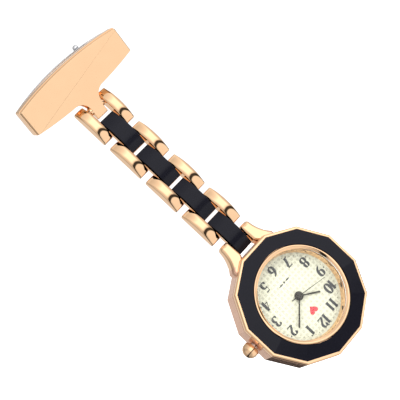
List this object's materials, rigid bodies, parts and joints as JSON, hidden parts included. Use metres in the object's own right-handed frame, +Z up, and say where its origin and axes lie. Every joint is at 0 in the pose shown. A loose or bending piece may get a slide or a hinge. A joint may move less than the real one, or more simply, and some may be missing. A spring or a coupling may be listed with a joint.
{
  "type": "fob watch",
  "caption": "Nurse's fob watch: a bow-shaped pin brooch, a short hinged link chain, and a twelve-sided quartz watch head that hangs upside down for its wearer.",
  "frame": {"origin": "middle of the brooch's pin wire, which the cloth holds up", "axes": "+Z up, +X to the right of someone facing the dial, +Y from the dial towards the case back; the watch hangs plumb"},
  "size_m": [0.0314, 0.0095, 0.0865],
  "materials": {
    "rose_gold": "polished rose-gold plate",
    "black_enamel": "glossy black enamel",
    "polished_steel": "polished, silver coloured",
    "brushed_steel": "brushed",
    "crystal_glass": "clear and polished",
    "white_nylon": "matte, moulded",
    "ivory_dial": "warm white lacquer with a fine pressed pattern",
    "brown_paint": "dark brown, nearly black",
    "red_enamel": "glossy red",
    "movement_brass": "satin",
    "coil_copper": "fine wire, wound",
    "circuit_green": "solder mask",
    "black_rubber": "matte"
  },
  "bodies": {
    "brooch": {"brooch_bar": "rose_gold", "brooch_back_plate": "polished_steel", "pin_hinge_bracket": "polished_steel", "pin_hinge_rivet": "polished_steel", "catch_housing": "polished_steel"},
    "brooch_pin": {"pin_wire": "polished_steel"},
    "safety_catch": {"catch_roller": "polished_steel", "catch_lever": "polished_steel"},
    "outer_links_1": {"outer_link_left_1": "rose_gold", "outer_link_right_1": "rose_gold", "link_pin_upper_1": "polished_steel", "link_pin_lower_1": "polished_steel"},
    "centre_link_1": {"centre_link_1": "rose_gold", "centre_enamel_1": "black_enamel"},
    "outer_links_2": {"outer_link_left_2": "rose_gold", "outer_link_right_2": "rose_gold", "link_pin_upper_2": "polished_steel", "link_pin_lower_2": "polished_steel"},
    "centre_link_2": {"centre_link_2": "rose_gold", "centre_enamel_2": "black_enamel"},
    "outer_links_3": {"outer_link_left_3": "rose_gold", "outer_link_right_3": "rose_gold", "link_pin_upper_3": "polished_steel", "link_pin_lower_3": "polished_steel"},
    "centre_link_3": {"centre_link_3": "rose_gold", "centre_enamel_3": "black_enamel"},
    "outer_links_4": {"outer_link_left_4": "rose_gold", "outer_link_right_4": "rose_gold", "link_pin_upper_4": "polished_steel", "link_pin_lower_4": "polished_steel"},
    "centre_link_4": {"centre_link_4": "rose_gold", "centre_enamel_4": "black_enamel"},
    "watch_head": {"lug_pin": "polished_steel", "case_middle": "rose_gold", "bezel": "rose_gold", "bezel_enamel": "black_enamel", "crystal_ring": "rose_gold", "crystal": "crystal_glass", "crystal_gasket": "white_nylon", "rehaut_ring": "rose_gold", "dial": "ivory_dial", "movement_holder": "white_nylon", "movement_main_plate": "movement_brass", "movement_train_bridge": "movement_brass", "motor_coil": "coil_copper", "circuit_board": "circuit_green", "battery": "brushed_steel", "battery_strap": "polished_steel", "case_back": "brushed_steel", "case_back_gasket": "black_rubber", "crown_tube": "polished_steel"},
    "minute_hand": {"minute_hand": "brown_paint"},
    "hour_hand": {"hour_hand": "brown_paint"},
    "second_hand": {"second_hand": "brown_paint"},
    "setting_lever": {"setting_lever": "polished_steel"},
    "setting_crown": {"crown": "rose_gold", "setting_stem": "polished_steel"}
  },
  "joints": [
    {"name": "brooch_pin_swing", "type": "hinge", "parent": "brooch", "child": "brooch_pin", "pos_m": [-0.009, 0, 0], "axis": [0, -0.4159, 0.9094], "range_deg": [0, 75]},
    {"name": "safety_catch_turn", "type": "hinge", "parent": "brooch", "child": "safety_catch", "pos_m": [0.0062, 0, 0], "axis": [-1, 0, 0], "range_deg": [0, 130]},
    {"name": "outer_links_1_hinge", "type": "hinge", "parent": "brooch", "child": "outer_links_1", "pos_m": [0, 0, -0.00902], "axis": [1, 0, 0], "range_deg": [-20, 20]},
    {"name": "centre_link_1_hinge", "type": "hinge", "parent": "outer_links_1", "child": "centre_link_1", "pos_m": [0, 0, -0.01427], "axis": [1, 0, 0], "range_deg": [-20, 20]},
    {"name": "outer_links_2_hinge", "type": "hinge", "parent": "centre_link_1", "child": "outer_links_2", "pos_m": [0, 0, -0.01952], "axis": [1, 0, 0], "range_deg": [-20, 20]},
    {"name": "centre_link_2_hinge", "type": "hinge", "parent": "outer_links_2", "child": "centre_link_2", "pos_m": [0, 0, -0.02477], "axis": [1, 0, 0], "range_deg": [-20, 20]},
    {"name": "outer_links_3_hinge", "type": "hinge", "parent": "centre_link_2", "child": "outer_links_3", "pos_m": [0, 0, -0.03002], "axis": [1, 0, 0], "range_deg": [-20, 20]},
    {"name": "centre_link_3_hinge", "type": "hinge", "parent": "outer_links_3", "child": "centre_link_3", "pos_m": [0, 0, -0.03527], "axis": [1, 0, 0], "range_deg": [-20, 20]},
    {"name": "outer_links_4_hinge", "type": "hinge", "parent": "centre_link_3", "child": "outer_links_4", "pos_m": [0, 0, -0.04052], "axis": [1, 0, 0], "range_deg": [-20, 20]},
    {"name": "centre_link_4_hinge", "type": "hinge", "parent": "outer_links_4", "child": "centre_link_4", "pos_m": [0, 0, -0.04577], "axis": [1, 0, 0], "range_deg": [-20, 20]},
    {"name": "watch_head_hinge", "type": "hinge", "parent": "centre_link_4", "child": "watch_head", "pos_m": [0, 0, -0.05102], "axis": [1, 0, 0], "range_deg": [-20, 20]},
    {"name": "minute_hand_turn", "type": "hinge", "parent": "watch_head", "child": "minute_hand", "pos_m": [0, 0, -0.06832], "axis": [0, 1, 0], "continuous": true},
    {"name": "hour_hand_turn", "type": "hinge", "parent": "watch_head", "child": "hour_hand", "pos_m": [0, 0, -0.06832], "axis": [0, 1, 0], "continuous": true},
    {"name": "second_hand_turn", "type": "hinge", "parent": "watch_head", "child": "second_hand", "pos_m": [0, 0, -0.06832], "axis": [0, 1, 0], "continuous": true},
    {"name": "crown_pull", "type": "slide", "parent": "watch_head", "child": "setting_lever", "axis": [-1, 0, 0], "range_m": [0, 0.0008]},
    {"name": "crown_turn", "type": "hinge", "parent": "setting_lever", "child": "setting_crown", "pos_m": [-0.016, 0.0011, -0.06832], "axis": [-1, 0, 0], "continuous": true}
  ],
  "couplings": [
    {"joint": "hour_hand_turn", "follows": "minute_hand_turn", "ratio": 0.083333}
  ]
}
